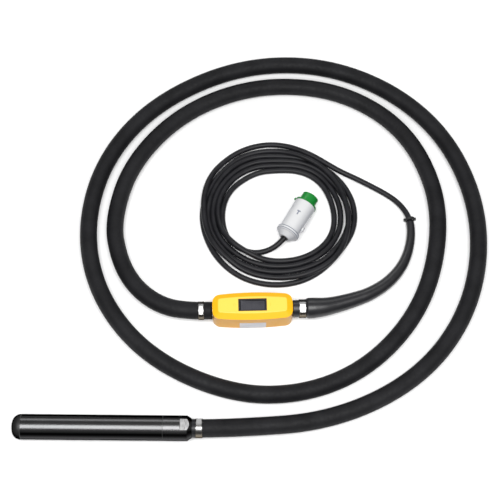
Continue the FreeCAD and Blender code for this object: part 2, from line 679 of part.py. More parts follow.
def box_fasteners():
    gasket = plan_ring("gasket", "gasket_in + 0.05", "gasket_out - 0.05",
                       "seam_z - gasket_height", "gasket_height")
    node(compound("gasket_loop", [gasket]), "box_gasket", "box")
    screws = []
    shanks = posts("screw_shank", "screw_radius", "box_wall - 1", "screw_top_z")
    heads = posts("screw_head", "screw_head", "0.6", "box_wall")
    for index, (shank, head) in enumerate(zip(shanks, heads)):
        screws.append(fuse(f"screw{index}", shank, head))
    node(compound("screws", screws), "cover_screws", "box")


def rating_plate():
    skin = plan_ring("plate_skin", "0 - plate_thickness", "0", "plate_low_z",
                     "plate_high_z - plate_low_z")
    half = number("plate_length") / 2
    window = block("plate_window", (str(-half), "0 - box_half_width - 5", "0"),
                   (str(half), "0", "seam_z"))
    plate = DOC.addObject("Part::Common", "plate_piece")
    plate.Base = skin
    plate.Tool = window
    DOC.recompute()
    node(plate, "rating_plate", "box")


# ---- switch --------------------------------------------------------------------------------


def centred_block(name, length, width, low, high):
    """A box centred on the switch box's middle."""
    half_x, half_y = number(length) / 2, number(width) / 2
    return block(name, (str(-half_x), str(-half_y), low), (str(half_x), str(half_y), high))


def switch_fixed_parts():
    bezel = cut(
        "bezel", centred_block("bezel_blank", "bezel_length", "bezel_width", "cover_roof_z",
                               "bezel_top_z"),
        centred_block("bezel_hole", "rocker_hole_length", "rocker_hole_width",
                      "cover_roof_z - 1", "bezel_top_z + 1"))
    node(bezel, "switch_bezel", "box")
    pin_hole = crosswise_rod("pin_seat", "pin_radius", "switch_width")
    housing = cut(
        "housing", centred_block("housing_blank", "switch_length", "switch_width",
                                 "switch_floor_z", "cover_roof_z"),
        centred_block("housing_well", "rocker_hole_length", "rocker_hole_width",
                      "switch_well_z", "cover_roof_z + 1"), pin_hole)
    node(housing, "switch_housing", "box")
    pin = crosswise_rod("pin_bar", "pin_radius", "pin_length")
    node(compound("pin_set", [pin]), "rocker_pin", "box")
    pads = []
    for index, y in enumerate(("0 - contact_spread", "0", "contact_spread")):
        low_y, high_y = y + " - contact_half", y + " + contact_half"
        pads.append(block(f"pad{index}", ("pad_start", low_y, "switch_well_z"),
                          ("pad_end", high_y, "switch_well_z + pad_height")))
        pads.append(block(f"tab{index}", ("tab_start", low_y, "switch_floor_z - tab_drop"),
                          ("tab_end", high_y, "switch_floor_z")))
    node(compound("fixed_contact_set", pads), "fixed_contacts", "box")


def crosswise_rod(name, radius, length):
    """A cylinder along the box's Y at the rocker's pin."""
    cylinder = DOC.addObject("Part::Cylinder", name)
    half = number(length) / 2
    cylinder.Placement = Placement(Vector(0, half, 0), Rotation(Vector(1, 0, 0), 90))
    cylinder.setExpression("Radius", bound(radius))
    cylinder.setExpression("Height", bound(length))
    cylinder.setExpression("Placement.Base.z", "Sizes.pin_z")
    return cylinder


def rocker():
    """The rocker at rest in its off position, tilted about the pin."""
    end = "rocker_half_length"
    blank = extruded("rocker_blank", "XZ_Plane", [
        ("0 - " + end, "rocker_end"), ("0 - " + end, "rocker_edge"),
        ("0 - finger_half", "0 - rocker_belly"), ("0 - finger_half", "rocker_finger"),
        ("finger_half", "rocker_finger"), ("finger_half", "0 - rocker_belly"),
        (end, "rocker_edge"), (end, "rocker_end"), ("0", "rocker_middle"),
    ], "rocker_width")
    hole = DOC.addObject("Part::Cylinder", "rocker_pin_hole")
    hole.setExpression("Radius", "Sizes.pin_hole")
    hole.setExpression("Height", "Sizes.pin_length")
    half = number("pin_length") / 2
    hole.Placement = Placement(Vector(0, half, 0), Rotation(Vector(1, 0, 0), 90))
    drilled = compound("rocker_drilled", [cut("rocker", blank, hole)])
    tilt = Rotation(Vector(0, 1, 0), number("rocker_rest_tilt"))
    drilled.Placement = Placement(Vector(0, 0, number("pin_z")), tilt)
    node(compound("rocker_piece", [drilled]), "rocker", "box")
    blades = []
    for index, y in enumerate(("0 - contact_spread", "0", "contact_spread")):
        low = ("finger_half", y + " - contact_half", "rocker_finger")
        high = ("finger_half + blade_thickness", y + " + contact_half", "0 - blade_top")
        blades.append(block(f"blade{index}", low, high))
    moved = compound("blades", blades)
    moved.Placement = Placement(Vector(0, 0, number("pin_z")), tilt)
    node(compound("blade_set", [moved]), "moving_contacts", "box")


def box_wiring():
    half_x, half_y = number("block_length") / 2, number("block_width") / 2
    body = block("terminal_body", (str(-half_x), str(-half_y), "block_low_z"),
                 (str(half_x), str(half_y), "block_high_z"))
    wells, screws = [], []
    for column in (-1, 0, 1):
        for row in (-0.5, 0.5):
            x = str(column * number("terminal_spacing"))
            y = str(row * number("terminal_rows"))
            tag = f"{column + 1}_{row > 0}"
            floor = "block_high_z - terminal_well"
            wells.append(rod("well" + tag, "terminal_radius", floor, "block_high_z + 1", x, y))
            screws.append(rod("terminal" + tag, "terminal_radius - terminal_fit", floor,
                              "block_high_z - terminal_sunk", x, y))
    node(cut("terminal_block", body, *wells), "terminal_block", "box")
    node(compound("terminal_screws", screws), "terminal_screws", "box")


def box_nipples():
    for side, turn in (("left", 180), ("right", 0)):
        pipe = turned(side + "_nipple_tube", [
            ("box_nipple_in", "nipple_bore"), ("box_nipple_in", "nipple_radius"),
            ("box_nipple_out", "nipple_radius"), ("box_nipple_out", "nipple_bore"),
        ])
        nut = turned(side + "_nut_ring", [
            ("nut_start", "nipple_radius"), ("nut_start", "nut_radius"),
            ("nut_start + nut_length", "nut_radius"), ("nut_start + nut_length",
                                                       "nipple_radius"),
        ])
        for piece, label in ((pipe, "_hose_nipple"), (nut, "_nipple_nut")):
            swung = compound(side + label + "_turned", [piece])
            swung.Placement = Placement(Vector(0, 0, 0), Rotation(Vector(0, 0, 1), turn))
            node(compound(side + label + "_set", [swung]), side + label, "box_hose")


# ---- hose, cable and plug ------------------------------------------------------------------


def hose():
    outside = tube("hose_outside", HOSE_ROUTE, "hose_radius")
    inside = tube("hose_inside", HOSE_ROUTE, "hose_bore")
    node(cut("protective_hose", outside, inside), "protective_hose", "world")
    node(compound("inner_cable_run", [tube("inner_cable", HOSE_ROUTE, "inner_cable_radius")]),
         "inner_power_cable", "world")


def round_section(points, along, radius):
    """A circle square to a line of points, at a distance along it."""
    index, travelled = 0, 0.0
    while travelled < along:
        travelled += (points[index + 1] - points[index]).Length
        index += 1
    circle = Part.Circle(points[index], points[index + 1] - points[index - 1], radius)
    return Part.Wire([circle.toShape()])


def tail_sleeve():
    """A rubber sleeve whose round section shrinks along the first runs of the cable."""
    points = tangent_path(LEAD_ROUTE, "sleeve path").discretize(Number=2500)
    start = (Vector(*LEAD_ROUTE[0]) - box_point(number("sleeve_start"))).Length
    collar_end = start + number("collar_length")
    shoulder = collar_end + number("shoulder_length")
    tip = number("sleeve_length")
    wide, narrow = number("sleeve_shoulder"), number("sleeve_tip")
    sections = [round_section(points, start, number("sleeve_collar")),
                round_section(points, collar_end, number("sleeve_collar"))]
    steps = 14
    for step in range(steps + 1):
        share = step / steps
        radius = wide + (narrow - wide) * share ** number("sleeve_curve")
        sections.append(round_section(points, shoulder + share * (tip - shoulder), radius))
    outside = DOC.addObject("Part::Feature", "sleeve_outside")
    outside.Shape = Part.makeLoft(sections, True, True)
    bore = tube("sleeve_bore_tool", LEAD_ROUTE[:10], "sleeve_bore")
    socket = compound("socket_place", [lying_rod("socket", "nipple_radius", "box_half_length",
                                                 "box_nipple_out - box_half_length")])
    place(socket, "box_hose")
    node(cut("tail_sleeve", outside, bore, socket), "tail_sleeve", "world")


def sleeve_tie():
    """The band that closes the sleeve's tip on the cable, with its two lugs."""
    band = ring("tie_band", "0", "tie_width", "tie_radius", "tie_bore")
    low = ("tie_lug_inset", "0 - tie_lug_reach", "0 - tie_lug_height")
    high = ("tie_width - tie_lug_inset", "tie_lug_reach", "tie_lug_height")
    bar = block("tie_lugs", low, high)
    bore = lying_rod("tie_lug_bore", "tie_bore", "0 - 1", "tie_width + 2")
    node(fuse("tie", band, cut("tie_lug_pair", bar, bore)), "sleeve_tie", "tie")


def box_point(along):
    """A point on the hose's axis through the switch box."""
    turn = math.radians(number("box_turn"))
    return Vector(number("box_x") + along * math.cos(turn),
                  number("box_y") + along * math.sin(turn), number("hose_axis_z"))


def cable():
    node(compound("lead_run", [tube("lead", LEAD_ROUTE, "cable_radius")]), "cable_lead",
         "world")
    node(compound("tail_run", [tube("tail", TAIL_ROUTE, "cable_radius")]), "cable_tail",
         "world")
    drum = DOC.addObject("Part::Cylinder", "coil_drum")
    drum.setExpression("Radius", "Sizes.coil_outer")
    drum.setExpression("Height", "Sizes.coil_height")
    drum.setExpression("Placement.Base.x", "Sizes.coil_x")
    drum.setExpression("Placement.Base.y", "Sizes.coil_y")
    hole = DOC.addObject("Part::Ellipse", "coil_hole_edge")
    hole.setExpression("MajorRadius", "Sizes.coil_hole_long")
    hole.setExpression("MinorRadius", "Sizes.coil_hole_short")
    hole.setExpression("Placement.Base.x", "Sizes.coil_hole_x")
    hole.setExpression("Placement.Base.y", "Sizes.coil_hole_y")
    prism = DOC.addObject("Part::Extrusion", "coil_hole_prism")
    prism.Base = hole
    prism.Dir = Vector(0, 0, 1)
    prism.DirMode = "Custom"
    prism.Solid = True
    prism.setExpression("LengthFwd", "Sizes.coil_height")
    DOC.recompute()
    blank = cut("coil_blank", drum, prism)
    soft = DOC.addObject("Part::Fillet", "coil_rounding")
    soft.Base = blank
    edge = number("coil_edge")
    rims = [index for index, item in enumerate(blank.Shape.Edges, start=1)
            if item.BoundBox.ZLength < 0.01]
    soft.Edges = [(index, edge, edge) for index in rims]
    node(soft, "cable_coil", "world")


def plug():
    node(turned("gland_nut", [
        ("0", "gland_bore"), ("0", "gland_nose"), ("gland_length", "gland_skirt"),
        ("gland_length", "gland_bore"),
    ]), "plug_gland_nut", "plug")
    node(turned("gland_seal", [
        ("0 - seal_lip", "cable_radius + cable_fit"), ("0 - seal_lip", "gland_bore - seal_fit"),
        ("seal_length", "gland_bore - seal_fit"), ("seal_length", "cable_radius + cable_fit"),
    ]), "plug_gland_seal", "plug")
    node(turned("clamp_ring", [
        ("ring_start", "gland_bore"), ("ring_start", "ring_groove"),
        ("ring_start + ring_bevel", "ring_radius"), ("ring_start + ring_length", "ring_radius"),
        ("ring_start + ring_length", "gland_bore"),
    ]), "plug_clamp_ring", "plug")
    node(turned("shell", [
        ("shell_start", "gland_bore"), ("shell_start", "shell_small"),
        ("shell_end", "shell_large"), ("shell_end", "shell_large - shell_wall"),
        ("shell_start + shell_wall", "shell_small - shell_wall"),
        ("shell_start + shell_wall", "gland_bore"),
    ]), "plug_shell", "plug")
    node(turned("shroud", [
        ("collar_start", "insert_radius + insert_fit"), ("collar_start", "collar_radius"),
        ("shroud_start", "collar_radius"), ("shroud_start", "shroud_radius"),
        ("shroud_end", "shroud_radius"), ("shroud_end", "shroud_radius - shroud_wall"),
        ("collar_start + collar_floor", "shroud_radius - shroud_wall"),
        ("collar_start + collar_floor", "insert_radius + insert_fit"),
    ]), "plug_shroud", "plug")
    core = ring("insert", "insert_start", "insert_end - insert_start", "insert_radius", "0")
    holes, pins = [], []
    for step in range(3):
        angle = math.radians(90 + 120 * step)
        length = "insert_end - plug_pin_start"
        for name, holder in (("pin_hole", holes), ("pin_root", pins)):
            holder.append(rod_on_circle(f"{name}{step}", "plug_pin_root", "plug_pin_start",
                                        length, "plug_pin_circle", angle))
        pins.append(rod_on_circle(f"pin{step}", "plug_pin_radius", "insert_end",
                                  "plug_pin_end - insert_end", "plug_pin_circle", angle))
    node(cut("pin_insert", core, *holes), "plug_pin_insert", "plug")
    node(fuse("pins", *pins), "plug_pins", "plug")
    saddle = ring("cord_saddle", "cord_clamp_start", "cord_clamp_length", "cord_clamp_radius",
                  "cable_radius + cable_fit")
    low = ("cord_clamp_start - 1", "0 - cord_clamp_radius - 1", "0 - cord_clamp_gap")
    high = ("cord_clamp_start + cord_clamp_length + 1", "cord_clamp_radius + 1",
            "cord_clamp_gap")
    gap = block("saddle_gap", low, high)
    node(cut("cord_clamp", saddle, gap), "plug_cord_clamp", "plug")


def export():
    """Checks every object and writes each piece to its own file."""
    DOC.recompute()
    failed = [item.Name for item in DOC.Objects
              if "Invalid" in item.State or "Error" in item.State]
    if failed:
        raise RuntimeError(f"failed objects: {failed}")
    os.makedirs("parts", exist_ok=True)
    for item in NODES:
        shape = item.Shape
        if shape.isNull() or not shape.isValid():
            raise RuntimeError(f"{item.Label} has no valid shape")
        shape.exportStep(os.path.join("parts", item.Label + ".step"))
        print(item.Label, "solids", len(shape.Solids), "volume", round(shape.Volume))


fill_sheet()
nose_cap()
sealing_ring("nose_seal", "ring_middle")
head_tube()
rear_coupling()
sealing_ring("coupling_seal", "rear_ring_middle")
head_nipple()
bearings()
bearing_carriers()
rotor()
stator()
small_head_parts()
band_clamp("head_clamp", "head_band_start", "head_band_width", "head", -20)
box_base()
box_cover()
box_fasteners()
rating_plate()
switch_fixed_parts()
rocker()
box_wiring()
box_nipples()
band_clamp("left_clamp", "0 - left_band_start - left_band_width", "left_band_width",
           "box_hose", 20)
band_clamp("right_clamp", "right_band_start", "right_band_width", "box_hose", 20)
hose()
tail_sleeve()
sleeve_tie()
cable()
plug()
export()
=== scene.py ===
import json
import math

import bmesh
import bpy
from mathutils import Matrix, Vector


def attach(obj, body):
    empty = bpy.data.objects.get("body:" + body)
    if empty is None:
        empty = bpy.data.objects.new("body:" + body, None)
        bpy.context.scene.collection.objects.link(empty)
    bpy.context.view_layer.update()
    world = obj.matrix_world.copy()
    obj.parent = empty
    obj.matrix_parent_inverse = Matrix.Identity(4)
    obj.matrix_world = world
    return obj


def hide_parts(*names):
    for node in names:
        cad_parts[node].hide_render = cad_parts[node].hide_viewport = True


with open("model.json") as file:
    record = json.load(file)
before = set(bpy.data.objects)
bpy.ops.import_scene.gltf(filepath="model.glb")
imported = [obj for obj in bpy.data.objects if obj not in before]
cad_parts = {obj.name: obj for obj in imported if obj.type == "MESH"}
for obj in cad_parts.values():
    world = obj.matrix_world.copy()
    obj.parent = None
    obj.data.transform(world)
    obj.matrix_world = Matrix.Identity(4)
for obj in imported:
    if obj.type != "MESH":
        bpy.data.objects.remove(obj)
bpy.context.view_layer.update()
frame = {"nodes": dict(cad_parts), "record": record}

MM = 0.001
HEAD_AXIS = Matrix.Translation((-0.3012, -0.1332, 0.026))
BOX_TURN = math.radians(1.9)
BOX_PLACE = Matrix.Translation((0.1885, 0.1278, 0.0)) @ Matrix.Rotation(BOX_TURN, 4, "Z")
BOX_HOSE_AXIS = BOX_PLACE @ Matrix.Translation((0, 0, 0.029))
PLUG_AXIS = (Matrix.Translation((0.257, 0.299, 0.0262))
             @ Matrix.Rotation(math.radians(60), 4, "Z"))

# ---- camera --------------------------------------------------------------------------------

CAMERA_TARGET = Vector((0.1817, 0.2725, 0.01875))
CAMERA_ELEVATION = math.radians(65.5)
CAMERA_YAW = math.radians(0.56)
CAMERA_DISTANCE = 2.6
CAMERA_SENSOR_MM = 36
CAMERA_LENS_MM = 85.3


def make_camera():
    camera = bpy.data.objects.new("camera", bpy.data.cameras.new("camera"))
    bpy.context.scene.collection.objects.link(camera)
    back = Vector((math.sin(CAMERA_YAW) * math.cos(CAMERA_ELEVATION),
                   -math.cos(CAMERA_YAW) * math.cos(CAMERA_ELEVATION),
                   math.sin(CAMERA_ELEVATION)))
    camera.location = CAMERA_TARGET + back * CAMERA_DISTANCE
    camera.rotation_mode = "QUATERNION"
    camera.rotation_quaternion = (-back).to_track_quat("-Z", "Y")
    camera.data.sensor_width = CAMERA_SENSOR_MM
    camera.data.lens = CAMERA_LENS_MM
    bpy.context.scene.camera = camera


make_camera()

# ---- cord routes, in metres ----------------------------------------------------------------

HOSE_DIAMETER = 0.0375
CABLE_DIAMETER = 0.0124

HOSE_ROUTE = [
    (.0669, -.1332, .026), (.140, -.1332, .026), (.362, -.113, .0193), (.5515, -.012, .019),
    (.6645, .152, .019), (.6955, .355, .019), (.638, .549, .019), (.515, .683, .019),
    (.341, .757, .019), (.145, .747, .019), (-.043, .645, .019), (-.153, .495, .019),
    (-.185, .318, .019), (-.143, .155, .019), (-.030, .020, .019), (.149, -.060, .019),
    (.312, -.055, .019), (.455, .018, .019), (.566, .162, .019), (.608, .359, .019),
    (.569, .520, .019), (.482, .629, .019), (.347, .693, .019), (.177, .693, .019),
    (.019, .619, .019), (-.090, .486, .019), (-.124, .340, .019), (-.1045, .248, .0195),
    (-.0695, .1845, .022), (-.017, .1405, .026), (.042, .12294, .029),
    (.10265, .12495, .029),
]
LEAD_ROUTE = [
    (.2585, .13012, .029), (.326, .13236, .029), (.369, .1435, .023), (.410, .158, .0195),
    (.444, .172, .017), (.4865, .202, .0146), (.521, .2475, .013), (.5375, .303, .012),
    (.5385, .352, .0112), (.523, .386, .0084), (.496, .414, .0068), (.430, .452, .0085),
    (.385, .471, .015), (.362, .484, .018),
]
TAIL_ROUTE = [
    (.138, .298, .0066), (.162, .2785, .0066), (.191, .2695, .0075), (.221, .273, .013),
    (.247, .287, .022), (.266, .311, .0262),
]

# The coil's turns, counted in degrees from +X where the lead meets the coil to where the tail
# leaves it: (degrees, radius in mm, height of the centre line in mm).
COIL_CENTRE = Vector((0.243, 0.366))
COIL_KNOTS = [
    (48, 166.5, 18), (58, 164.8, 18), (66, 165.5, 17.5), (76, 169, 15), (90, 177.5, 8.5),
    (105, 181.5, 6.6), (122, 182, 6.6), (135, 180.5, 7), (146, 179, 11), (157, 174.5, 17),
    (180, 166, 18.6), (202, 163.5, 17), (225, 157, 14), (240, 156.5, 8), (270, 155, 8),
    (288, 160.5, 16), (300, 163, 18.5), (320, 167.5, 19), (335, 163, 19),
    (360, 156.5, 17.5), (375, 153, 19), (389, 154, 19), (414, 152.5, 19), (428, 153, 19),
    (436, 155.5, 16), (450, 161, 8), (465, 165, 6.6), (481, 168, 6.6), (495, 165.5, 6.6),
    (520, 167, 6.6), (540, 169.6, 6.6), (562, 169.5, 6.6), (585, 172, 6.6), (604, 173.5, 6.6),
    (630, 171.5, 6.6), (648, 170, 6.6), (671, 165, 6.6), (681, 163, 6.6), (691, 165, 6.6),
    (709, 172, 6.6), (720, 172.7, 6.6), (733, 171, 6.6), (745, 167, 6.6), (756, 162.5, 6.6),
    (772, 157.5, 6.6), (786, 154, 6.6), (810, 148.3, 6.6), (833, 155, 8), (855, 155.5, 13),
    (880, 157, 8), (900, 157.9, 6.6), (922, 153.5, 6.6), (947, 147.5, 6.6), (990, 141, 6.6),
    (1017, 144.5, 6.6), (1030, 150, 6.6), (1041, 151, 6.6), (1059, 156.8, 6.6),
    (1080, 160.3, 6.6), (1095, 155.5, 6.6), (1110, 149, 6.6), (1132, 146, 9), (1146, 142.5, 8),
    (1170, 135.8, 6.6), (1193, 142, 6.6), (1215, 145.5, 6.6), (1240, 147, 6.6),
    (1260, 146.2, 6.6), (1282, 142, 6.6), (1307, 134, 6.6), (1350, 127.5, 6.6),
    (1380, 132.5, 6.6), (1400, 137.8, 6.6), (1425, 142, 6.6), (1440, 141, 6.6),
    (1455, 139.5, 6.6), (1470, 137.5, 6.6), (1492, 136, 6.6), (1506, 131.5, 6.6),
    (1530, 123.3, 6.6), (1553, 129, 6.6), (1574, 133.5, 6.6), (1600, 136, 6.6),
    (1620, 134.5, 7), (1632, 132.5, 10), (1642, 130.5, 15), (1652, 127.5, 19),
    (1667, 121.5, 19), (1682, 118, 17),
    (1696, 116, 8), (1710, 114.5, 6.6), (1726, 116.5, 6.6), (1740, 119.7, 6.6),
    (1764, 126.5, 6.6), (1774, 128.5, 6.6), (1789, 127.8, 6.6), (1812, 124.3, 6.6),
    (1841, 125, 6.6), (1852, 123.5, 6.6), (1866, 119, 6.6), (1890, 110.8, 6.6),
    (1913, 113.8, 6.6), (1934, 116.5, 6.6), (1947, 120.6, 6.6), (1960, 123, 6.6),
    (1980, 124.2, 6.6), (2000, 126, 6.6), (2014, 126.5, 6.6),
]
COIL_STEP = 12
COIL_LOWEST_MM = 6.4
RADIUS_COLUMN = 1
HEIGHT_COLUMN = 2


def knot_value(degrees, column):
    """A smooth curve through the knots' radius or height at an angle."""
    index = 1
    while index < len(COIL_KNOTS) - 1 and COIL_KNOTS[index][0] <= degrees:
        index += 1
    low, high = COIL_KNOTS[index - 1], COIL_KNOTS[index]
    before, after = COIL_KNOTS[max(index - 2, 0)], COIL_KNOTS[min(index + 1, len(COIL_KNOTS) - 1)]
    span = high[0] - low[0]
    slope_low = (high[column] - before[column]) / (high[0] - before[0]) * span
    slope_high = (after[column] - low[column]) / (after[0] - low[0]) * span
    t = (degrees - low[0]) / span
    rise = t * t * (3 - 2 * t)
    return (low[column] * (1 - rise) + high[column] * rise
            + slope_low * t * (1 - t) ** 2 - slope_high * t * t * (1 - t))


def coil_route():
    """The coil's turns, as points a fixed angle apart."""
    points = []
    degrees = COIL_KNOTS[0][0] + COIL_STEP
    while degrees < COIL_KNOTS[-1][0] - COIL_STEP / 2:
        angle = math.radians(degrees)
        radius = knot_value(degrees, RADIUS_COLUMN) * MM
        points.append((COIL_CENTRE.x + radius * math.cos(angle),
                       COIL_CENTRE.y + radius * math.sin(angle),
                       max(knot_value(degrees, HEIGHT_COLUMN), COIL_LOWEST_MM) * MM))
        degrees += COIL_STEP
    return points


def spline_points(route, resolution):
    """Points along the smooth NURBS line that has the route as its control points."""
    curve = bpy.data.curves.new("route", "CURVE")
    curve.dimensions = "3D"
    curve.resolution_u = resolution
    spline = curve.splines.new("NURBS")
    spline.points.add(len(route) - 1)
    for point, spot in zip(spline.points, route):
        point.co = (*spot, 1.0)
    spline.order_u = 3
    spline.use_endpoint_u = True
    holder = bpy.data.objects.new("route", curve)
    line = bpy.data.meshes.new_from_object(holder)
    points = [vertex.co.copy() for vertex in line.vertices]
    bpy.data.objects.remove(holder)
    bpy.data.curves.remove(curve)
    bpy.data.meshes.remove(line)
    return points


def evenly(points, step):
    """The same line with its points evenly spaced, about one step apart."""
    lengths = [0.0]
    for before, after in zip(points, points[1:]):
        lengths.append(lengths[-1] + (after - before).length)
    count = max(2, round(lengths[-1] / step))
    spaced, index = [], 0
    for number in range(count + 1):
        along = lengths[-1] * number / count
        while index < len(points) - 2 and lengths[index + 1] < along:
            index += 1
        part = (along - lengths[index]) / max(lengths[index + 1] - lengths[index], 1e-9)
        spaced.append(points[index].lerp(points[index + 1], min(max(part, 0.0), 1.0)))
    return spaced


# ---- mesh helpers --------------------------------------------------------------------------


def add_piece(name, mesh, body, material):
    """Links a mesh as a piece that rides on a body."""
    piece = bpy.data.objects.new(name, mesh)
    bpy.context.scene.collection.objects.link(piece)
    mesh.materials.append(material)
    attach(piece, body)
    return piece


def tube_mesh(name, points, radius_at, sides):
    """A closed tube along a line; radius_at gives the radius at a distance along it.
    Each vertex keeps its place in the straightened tube, for materials, as "straight"."""
    vertices, straight, faces = [], [], []
    heading = (points[1] - points[0]).normalized()
    across = heading.cross(Vector((0, 0, 1))).normalized()
    travelled = 0.0
    last = len(points) - 1
    for index, point in enumerate(points):
        ahead = points[min(index + 1, last)] - points[max(index - 1, 0)]
        turn = heading.rotation_difference(ahead.normalized())
        heading = ahead.normalized()
        across = turn @ across
        across = (across - heading * across.dot(heading)).normalized()
        up = across.cross(heading)
        if index:
            travelled += (point - points[index - 1]).length
        radius = radius_at(travelled)
        for side in range(sides):
            angle = 2 * math.pi * side / sides
            vertices.append(point + (across * math.cos(angle) + up * math.sin(angle)) * radius)
            straight.append((math.cos(angle) * radius, math.sin(angle) * radius, travelled))
    for index in range(last):
        for side in range(sides):
            following = (side + 1) % sides
            a, b = index * sides + side, index * sides + following
            faces.append((a, b, b + sides, a + sides))
    faces.append(tuple(range(sides))[::-1])
    faces.append(tuple(last * sides + side for side in range(sides)))
    mesh = bpy.data.meshes.new(name)
    mesh.from_pydata(vertices, [], faces)
    mesh.shade_smooth()
    layer = mesh.attributes.new("straight", "FLOAT_VECTOR", "POINT")
    for index, place in enumerate(straight):
        layer.data[index].vector = place
    return mesh


def lathe_mesh(name, profile, place, sides, closed=False):
    """A mesh turned about its own X axis from (distance along, radius) points in mm."""
    shape = bmesh.new()
    rings = []
    for along, radius in profile:
        if radius <= 0:
            rings.append([shape.verts.new(place @ Vector((along * MM, 0, 0)))])
            continue
        ring = []
        for side in range(sides):
            angle = 2 * math.pi * side / sides
            spot = Vector((along, radius * math.cos(angle), radius * math.sin(angle))) * MM
            ring.append(shape.verts.new(place @ spot))
        rings.append(ring)
    pairs = list(zip(rings, rings[1:]))
    if closed:
        pairs.append((rings[-1], rings[0]))
    for first, second in pairs:
        for side in range(sides):
            following = (side + 1) % sides
            if len(first) == 1:
                shape.faces.new((first[0], second[following], second[side]))
            elif len(second) == 1:
                shape.faces.new((first[side], first[following], second[0]))
            else:
                shape.faces.new((first[side], first[following], second[following],
                                 second[side]))
    bmesh.ops.recalc_face_normals(shape, faces=shape.faces)
    mesh = bpy.data.meshes.new(name)
    shape.to_mesh(mesh)
    shape.free()
    mesh.shade_smooth()
    mesh.set_sharp_from_angle(angle=math.radians(35))
    return mesh


def block_mesh(name, low, high, rounding, place):
    """A box between two corners in mm with rounded edges."""
    shape = bmesh.new()
    size = [(b - a) * MM for a, b in zip(low, high)]
    middle = [(b + a) / 2 * MM for a, b in zip(low, high)]
    bmesh.ops.create_cube(shape, size=1.0)
    bmesh.ops.scale(shape, vec=size, verts=shape.verts)
    bmesh.ops.bevel(shape, geom=shape.edges[:], offset=rounding * MM, segments=3,
                    profile=0.5, affect="EDGES")
    bmesh.ops.translate(shape, vec=middle, verts=shape.verts)
    bmesh.ops.transform(shape, matrix=place, verts=shape.verts)
    mesh = bpy.data.meshes.new(name)
    shape.to_mesh(mesh)
    shape.free()
    mesh.shade_smooth()
    mesh.set_sharp_from_angle(angle=math.radians(50))
    return mesh


# ---- materials -----------------------------------------------------------------------------


def start_material(name, colour, roughness, metallic=0.0, coat=0.0):
    """A new node material; returns it with its nodes, links and shader."""
    material = bpy.data.materials.new(name)
    material.use_nodes = True
    nodes, links = material.node_tree.nodes, material.node_tree.links
    shader = nodes["Principled BSDF"]
    shader.inputs["Base Color"].default_value = (*colour, 1.0)
    shader.inputs["Roughness"].default_value = roughness
    shader.inputs["Metallic"].default_value = metallic
    shader.inputs["Coat Weight"].default_value = coat
    return material, nodes, links, shader


def coordinates(nodes, straight=False):
    """The object's own coordinates, or the straightened ones of a tube."""
    if straight:
        node = nodes.new("ShaderNodeAttribute")
        node.attribute_name = "straight"
        return node.outputs["Vector"]
    return nodes.new("ShaderNodeTexCoord").outputs["Object"]


def noise(nodes, links, vector, scale, detail, stretch=None):
    """A noise value, stretched along its axes where wanted."""
    if stretch:
        mapping = nodes.new("ShaderNodeMapping")
        mapping.inputs["Scale"].default_value = stretch
        links.new(vector, mapping.inputs["Vector"])
        vector = mapping.outputs["Vector"]
    node = nodes.new("ShaderNodeTexNoise")
    node.inputs["Scale"].default_value = scale
    node.inputs["Detail"].default_value = detail
    links.new(vector, node.inputs["Vector"])
    return node.outputs["Fac"]


def ranged(nodes, links, value, low, high, out_low, out_high):
    """A value carried from one range to another."""
    node = nodes.new("ShaderNodeMapRange")
    node.inputs["From Min"].default_value = low
    node.inputs["From Max"].default_value = high
    node.inputs["To Min"].default_value = out_low
    node.inputs["To Max"].default_value = out_high
    links.new(value, node.inputs["Value"])
    return node.outputs["Result"]


def two_colours(nodes, links, value, first, second):
    """A soft blend between two colours, steered by a value."""
    ramp = nodes.new("ShaderNodeValToRGB")
    ramp.color_ramp.elements[0].color = (*first, 1)
    ramp.color_ramp.elements[1].color = (*second, 1)
    ramp.color_ramp.elements[0].position = 0.35
    ramp.color_ramp.elements[1].position = 0.65
    links.new(value, ramp.inputs["Fac"])
    return ramp.outputs["Color"]


def bump(nodes, links, shader, heights):
    """Chains bumps: (height output, distance in metres, strength)."""
    previous = None
    for height, distance, strength in heights:
        node = nodes.new("ShaderNodeBump")
        node.inputs["Distance"].default_value = distance
        node.inputs["Strength"].default_value = strength
        links.new(height, node.inputs["Height"])
        if previous:
            links.new(previous, node.inputs["Normal"])
        previous = node.outputs["Normal"]
    links.new(previous, shader.inputs["Normal"])


def moulded(name, colour, shade, roughness, grain=900, grain_depth=0.00004, straight=False,
            coat=0.0):
    """Moulded plastic or rubber: a little uneven in colour, with a fine surface grain."""
    material, nodes, links, shader = start_material(name, colour, roughness, coat=coat)
    vector = coordinates(nodes, straight)
    cloud = noise(nodes, links, vector, 14, 5)
    links.new(two_colours(nodes, links, cloud, shade, colour), shader.inputs["Base Color"])
    smear = noise(nodes, links, vector, 60, 6)
    links.new(ranged(nodes, links, smear, 0.3, 0.7, roughness * 0.85, roughness * 1.15),
              shader.inputs["Roughness"])
    fine = noise(nodes, links, vector, grain, 3)
    bump(nodes, links, shader, [(fine, grain_depth, 0.5)])
    return material


def metal(name, colour, roughness, scratch=(1, 1, 1), scratch_scale=400, depth=0.00001,
          darker=0.75):
    """Machined or polished metal with fine marks along its working direction."""
    material, nodes, links, shader = start_material(name, colour, roughness, metallic=1.0)
    vector = coordinates(nodes)
    cloud = noise(nodes, links, vector, 25, 6)
    shade = tuple(channel * darker for channel in colour)
    links.new(two_colours(nodes, links, cloud, shade, colour), shader.inputs["Base Color"])
    marks = noise(nodes, links, vector, scratch_scale, 5, scratch)
    links.new(ranged(nodes, links, marks, 0.3, 0.7, roughness * 0.7, roughness * 1.3),
              shader.inputs["Roughness"])
    bump(nodes, links, shader, [(marks, depth, 0.6)])
    return material


WRAP_PITCH = 0.055


